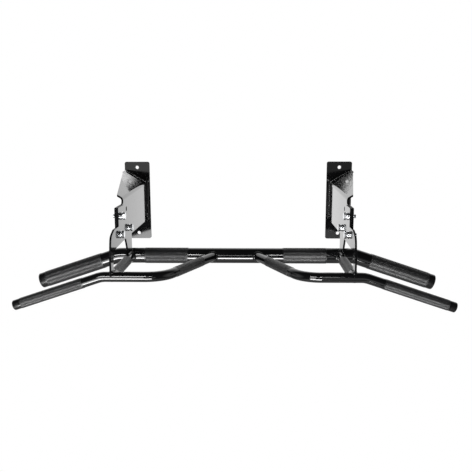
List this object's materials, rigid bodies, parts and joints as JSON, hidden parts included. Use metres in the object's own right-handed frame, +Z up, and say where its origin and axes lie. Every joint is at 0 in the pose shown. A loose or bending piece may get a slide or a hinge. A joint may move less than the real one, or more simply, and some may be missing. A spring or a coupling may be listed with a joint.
{
  "type": "wall-mounted multi-grip pull-up bar",
  "caption": "Wall-mounted pull-up bar with a thick drooped main bar, thinner angled front bars and neutral grips, all knurled, held out on two plate brackets.",
  "frame": {"origin": "centre of the rectangle of the four wall-bolt holes, on the wall's surface, midway between the two wall plates", "axes": "+X along the bars, +Y into the wall, +Z up"},
  "size_m": [1.1202, 0.5532, 0.3409],
  "materials": {
    "black_steel": "gloss black powder coat",
    "knurled_grip": "diamond knurl, satin black",
    "zinc_fastener": "bright zinc plate",
    "end_plug": "moulded, glossy"
  },
  "bodies": {
    "root": {"main_bar": "black_steel", "left_wall_plate": "black_steel", "left_gusset": "black_steel", "left_arm_plate": "black_steel", "left_front_bar": "black_steel", "left_neutral_grip_tube": "black_steel", "left_main_inner_grip": "knurled_grip", "left_main_outer_grip": "knurled_grip", "left_front_outer_grip": "knurled_grip", "left_front_inner_grip": "knurled_grip", "left_neutral_grip": "knurled_grip", "left_main_end_plug": "end_plug", "left_front_end_plug": "end_plug", "left_arm_bolts": "zinc_fastener", "left_arm_washers": "zinc_fastener", "left_arm_spring_washers": "zinc_fastener", "left_arm_nuts": "zinc_fastener", "right_wall_plate": "black_steel", "right_gusset": "black_steel", "right_arm_plate": "black_steel", "right_front_bar": "black_steel", "right_neutral_grip_tube": "black_steel", "right_main_inner_grip": "knurled_grip", "right_main_outer_grip": "knurled_grip", "right_front_outer_grip": "knurled_grip", "right_front_inner_grip": "knurled_grip", "right_neutral_grip": "knurled_grip", "right_main_end_plug": "end_plug", "right_front_end_plug": "end_plug", "right_arm_bolts": "zinc_fastener", "right_arm_washers": "zinc_fastener", "right_arm_spring_washers": "zinc_fastener", "right_arm_nuts": "zinc_fastener"}
  },
  "joints": []
}
